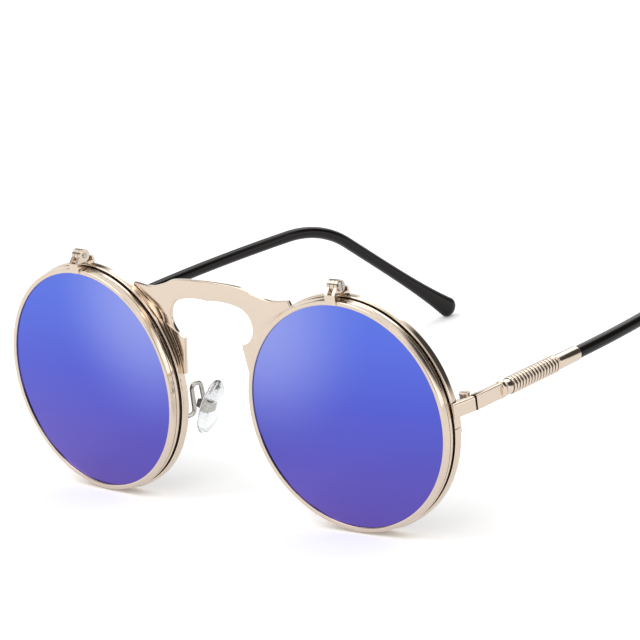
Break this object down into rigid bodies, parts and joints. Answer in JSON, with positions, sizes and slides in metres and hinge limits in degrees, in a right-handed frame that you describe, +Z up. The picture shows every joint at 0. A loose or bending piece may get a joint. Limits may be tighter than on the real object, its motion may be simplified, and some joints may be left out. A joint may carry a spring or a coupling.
{
  "type": "flip-up sunglasses",
  "caption": "Round metal sunglasses whose mirrored lenses swing up on top hinges over clear base lenses, with coil-wrapped folding temples, nose pads and black tips.",
  "frame": {"origin": "middle of the footprint on the table under the rims and the temple tips", "axes": "+X to the wearer's left, +Y back along the temples, +Z up"},
  "size_m": [0.1264, 0.144, 0.0533],
  "materials": {
    "champagne_metal": "polished pale gold plating",
    "screw_steel": "plated steel",
    "mirror_lens": "blue mirror coating",
    "clear_lens": "clear",
    "pad_silicone": "clear soft silicone",
    "tip_plastic": "black satin"
  },
  "bodies": {
    "front": {"base_lens_left": "clear_lens", "base_lens_right": "clear_lens", "base_rim_left": "champagne_metal", "base_rim_right": "champagne_metal", "bridge_plate": "champagne_metal", "end_piece_left": "champagne_metal", "end_piece_right": "champagne_metal", "flip_bracket_left": "champagne_metal", "flip_bracket_right": "champagne_metal", "front_hinge_left": "champagne_metal", "front_hinge_right": "champagne_metal", "nose_pad_left": "pad_silicone", "nose_pad_right": "pad_silicone", "pad_arm_left": "champagne_metal", "pad_arm_right": "champagne_metal", "pad_box_left": "champagne_metal", "pad_box_right": "champagne_metal", "pad_screw_left": "screw_steel", "pad_screw_right": "screw_steel", "rim_lock_lower_left": "champagne_metal", "rim_lock_lower_right": "champagne_metal", "rim_lock_screw_left": "screw_steel", "rim_lock_screw_right": "screw_steel", "rim_lock_upper_left": "champagne_metal", "rim_lock_upper_right": "champagne_metal", "temple_screw_left": "screw_steel", "temple_screw_right": "screw_steel"},
    "flip_left": {"flip_leaf_left": "champagne_metal", "flip_lens_left": "mirror_lens", "flip_rim_left": "champagne_metal", "flip_screw_left": "screw_steel"},
    "flip_right": {"flip_leaf_right": "champagne_metal", "flip_lens_right": "mirror_lens", "flip_rim_right": "champagne_metal", "flip_screw_right": "screw_steel"},
    "temple_left": {"ferrule_left": "champagne_metal", "rear_hinge_left": "champagne_metal", "spring_left": "champagne_metal", "temple_bar_left": "champagne_metal", "temple_tip_left": "tip_plastic"},
    "temple_right": {"ferrule_right": "champagne_metal", "rear_hinge_right": "champagne_metal", "spring_right": "champagne_metal", "temple_bar_right": "champagne_metal", "temple_tip_right": "tip_plastic"}
  },
  "joints": [
    {"name": "flip_left_hinge", "type": "hinge", "parent": "front", "child": "flip_left", "pos_m": [0.0352, -0.06906, 0.05192], "axis": [-0.9978, -0.0662, -0.0028], "range_deg": [0, 100]},
    {"name": "flip_right_hinge", "type": "hinge", "parent": "front", "child": "flip_right", "pos_m": [-0.0352, -0.06906, 0.05192], "axis": [-0.9978, 0.0662, 0.0028], "range_deg": [0, 100]},
    {"name": "temple_left_hinge", "type": "hinge", "parent": "front", "child": "temple_left", "pos_m": [0.05867, -0.06038, 0.02812], "axis": [0, -0.0423, 0.9991], "range_deg": [0, 88]},
    {"name": "temple_right_hinge", "type": "hinge", "parent": "front", "child": "temple_right", "pos_m": [-0.05867, -0.06038, 0.02812], "axis": [0, 0.0423, -0.9991], "range_deg": [0, 78]}
  ]
}
